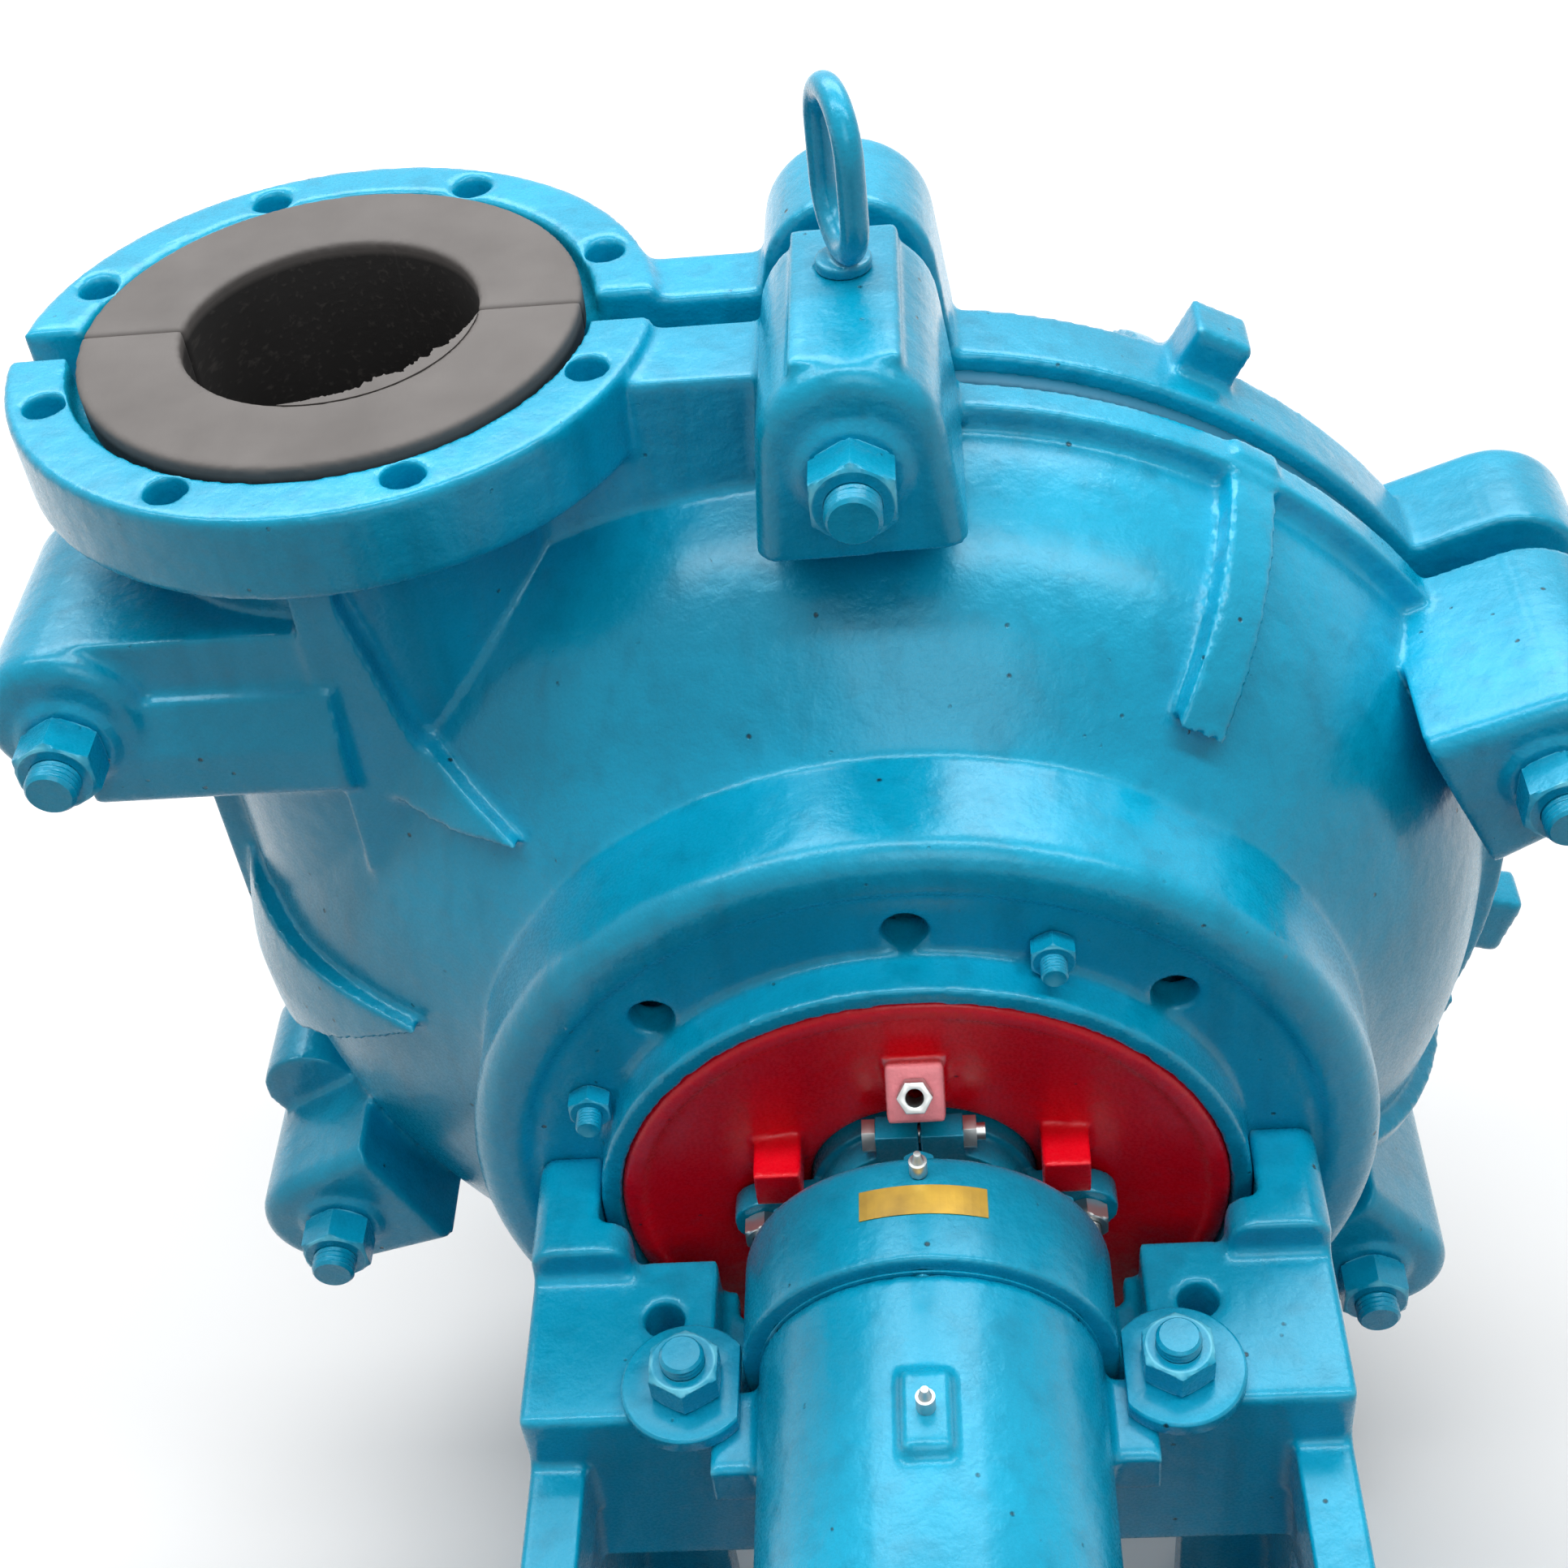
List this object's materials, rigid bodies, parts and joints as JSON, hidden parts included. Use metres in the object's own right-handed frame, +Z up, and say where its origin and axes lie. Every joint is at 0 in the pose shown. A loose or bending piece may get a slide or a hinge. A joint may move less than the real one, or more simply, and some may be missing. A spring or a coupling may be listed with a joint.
{
  "type": "centrifugal slurry pump",
  "caption": "rubber lined end suction slurry pump with split casing, side discharge, gland packing and grease lubricated bearing assembly on a cast base",
  "frame": {"origin": "middle of the four foundation bolt holes, on the underside of the base feet", "axes": "+Z up, along the discharge flange's outward normal; the shaft lies along Y, suction towards +Y and drive end towards -Y; +X is to the right seen from the drive end, the discharge stands on the -X side"},
  "size_m": [0.7534, 1.117, 0.9149],
  "materials": {
    "turquoise_enamel": "glossy alkyd enamel brushed over rough sand-cast iron, thick in the corners, worn thin on edges",
    "red_enamel": "glossy red enamel over cast iron",
    "liner_rubber": "moulded natural rubber, matt, dusty grey-brown on the outside",
    "seal_rubber": "matt black rubber",
    "impeller_iron": "raw sand-cast high chrome iron",
    "ground_steel": "turned and ground bare steel, lightly oiled",
    "zinc_steel": "bright zinc plated steel",
    "bronze": "machined bronze",
    "packing_fibre": "braided greased gland packing"
  },
  "bodies": {
    "casing_and_base": {"base_frame": "turquoise_enamel", "frame_plate": "turquoise_enamel", "cover_plate": "turquoise_enamel", "casing_bolts": "turquoise_enamel", "casing_nuts": "turquoise_enamel", "clamp_washers": "turquoise_enamel", "clamp_studs": "turquoise_enamel", "clamp_nuts": "turquoise_enamel", "lifting_eye": "turquoise_enamel", "liner_studs": "turquoise_enamel", "liner_nuts": "turquoise_enamel", "base_studs": "turquoise_enamel", "base_nuts": "turquoise_enamel", "stuffing_box": "red_enamel", "frame_plate_liner": "liner_rubber", "cover_plate_liner": "liner_rubber", "back_liner": "liner_rubber", "throatbush": "liner_rubber", "intake_joint": "liner_rubber", "stuffing_box_seal": "seal_rubber", "seal_water_fitting": "zinc_steel", "gland_studs": "zinc_steel", "adjusting_nuts": "zinc_steel", "neck_ring": "bronze", "lantern_ring": "bronze", "packing_rings": "packing_fibre"},
    "bearing_assembly": {"bearing_housing": "turquoise_enamel", "front_end_cover": "turquoise_enamel", "rear_end_cover": "turquoise_enamel", "cover_gaskets": "packing_fibre", "end_cover_screws": "turquoise_enamel", "front_bearing_outer_ring": "ground_steel", "rear_bearing_outer_ring": "ground_steel", "grease_nipples": "zinc_steel", "adjusting_screw": "zinc_steel"},
    "rotor": {"shaft": "ground_steel", "shaft_sleeve": "ground_steel", "sleeve_seal": "seal_rubber", "shaft_spacer": "ground_steel", "impeller": "impeller_iron", "front_labyrinth": "ground_steel", "rear_labyrinth": "ground_steel", "front_bearing_inner_ring": "ground_steel", "rear_bearing_inner_ring": "ground_steel", "bearing_locknut": "ground_steel"},
    "front_rollers": {"front_bearing_rollers": "ground_steel"},
    "rear_rollers": {"rear_bearing_rollers": "ground_steel"},
    "gland": {"gland_half_left": "turquoise_enamel", "gland_half_right": "turquoise_enamel", "gland_clamp_bolts": "zinc_steel", "gland_nuts": "zinc_steel"}
  },
  "joints": [
    {"name": "bearing_adjustment", "type": "slide", "parent": "casing_and_base", "child": "bearing_assembly", "axis": [0, 1, 0], "range_m": [-0.003, 0.003]},
    {"name": "shaft_rotation", "type": "hinge", "parent": "bearing_assembly", "child": "rotor", "pos_m": [0, 0, 0.44], "axis": [0, 1, 0], "continuous": true},
    {"name": "front_cage_rotation", "type": "hinge", "parent": "bearing_assembly", "child": "front_rollers", "pos_m": [0, 0.1, 0.44], "axis": [0, 1, 0], "continuous": true},
    {"name": "rear_cage_rotation", "type": "hinge", "parent": "bearing_assembly", "child": "rear_rollers", "pos_m": [0, -0.19, 0.44], "axis": [0, 1, 0], "continuous": true},
    {"name": "gland_take_up", "type": "slide", "parent": "casing_and_base", "child": "gland", "axis": [0, -1, 0], "range_m": [0, 0.012]}
  ],
  "couplings": [
    {"joint": "front_cage_rotation", "follows": "shaft_rotation", "ratio": 0.437},
    {"joint": "rear_cage_rotation", "follows": "shaft_rotation", "ratio": 0.437}
  ]
}
